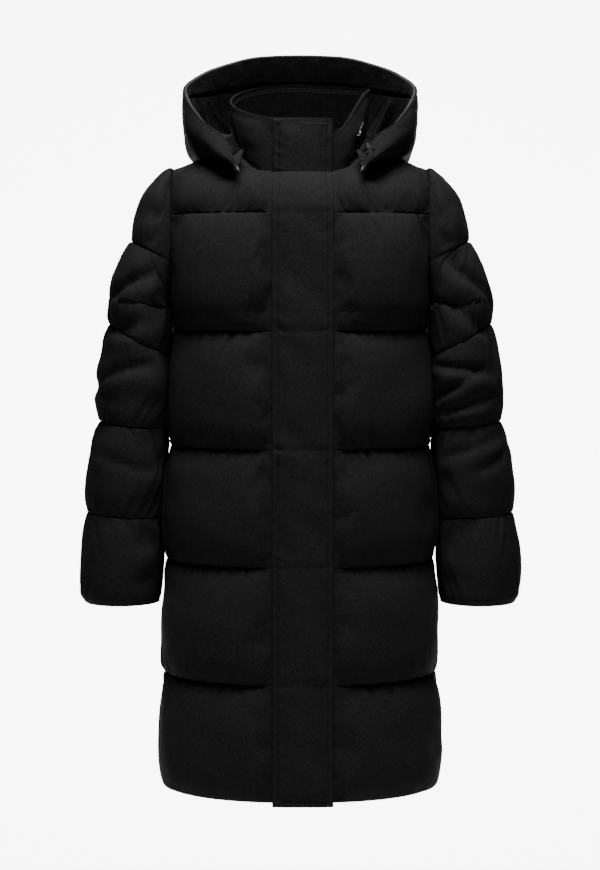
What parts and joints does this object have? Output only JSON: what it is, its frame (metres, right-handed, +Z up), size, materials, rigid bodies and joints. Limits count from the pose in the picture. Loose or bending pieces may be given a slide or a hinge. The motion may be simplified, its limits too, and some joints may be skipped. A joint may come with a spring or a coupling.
{
  "type": "long hooded puffer coat",
  "caption": "Hollow long puffer coat in worn form, quilted across in wide baffles, with stand collar, storm flap, set-in sleeves and a hood laid back.",
  "frame": {"origin": "midway between the two shoulder points, at their level, where the wearer carries the coat", "axes": "+X to the viewer's right (the wearer's left), the front faces -Y, +Z up"},
  "size_m": [0.653, 0.3793, 1.1105],
  "materials": {
    "shell": "matt woven shell cloth, black, faintly heathered",
    "satin_lining": "black satin lining, soft sheen",
    "zip_tape": "black zip tape with black teeth",
    "zip_metal": "bright zip metal, slightly worn"
  },
  "bodies": {
    "coat": {"front_right_low": "shell", "front_right_middle": "shell", "front_right_high": "shell", "front_left_low": "shell", "front_left_middle": "shell", "front_left_high": "shell", "back_low": "shell", "back_middle": "shell", "back_high": "shell", "back_yoke": "shell", "sleeve_right": "shell", "sleeve_left": "shell", "collar": "shell", "collar_inside": "shell", "storm_flap": "shell", "pocket_edge_right": "shell", "pocket_edge_left": "shell", "hood_shell": "shell", "hood_facing": "shell", "hood_lining": "satin_lining", "front_zip": "zip_tape", "vent_zip_right": "zip_tape", "vent_zip_left": "zip_tape", "hood_slider": "zip_metal", "vent_slider_right": "zip_metal", "vent_slider_left": "zip_metal"},
    "hood_pull_tab": {"hood_pull": "zip_metal"},
    "vent_pull_tab_right": {"vent_pull_right": "zip_metal"},
    "vent_pull_tab_left": {"vent_pull_left": "zip_metal"}
  },
  "joints": [
    {"name": "hood_pull_swing", "type": "hinge", "parent": "coat", "child": "hood_pull_tab", "pos_m": [0.08648, -0.05479, 0.04929], "axis": [0.4488, 0.7202, -0.5291], "range_deg": [0, 160]},
    {"name": "vent_pull_swing_right", "type": "hinge", "parent": "coat", "child": "vent_pull_tab_right", "pos_m": [-0.20687, 0, -0.85792], "axis": [0, 1, 0], "range_deg": [0, 170]},
    {"name": "vent_pull_swing_left", "type": "hinge", "parent": "coat", "child": "vent_pull_tab_left", "pos_m": [0.20687, 0, -0.85792], "axis": [0, -1, 0], "range_deg": [0, 170]}
  ]
}
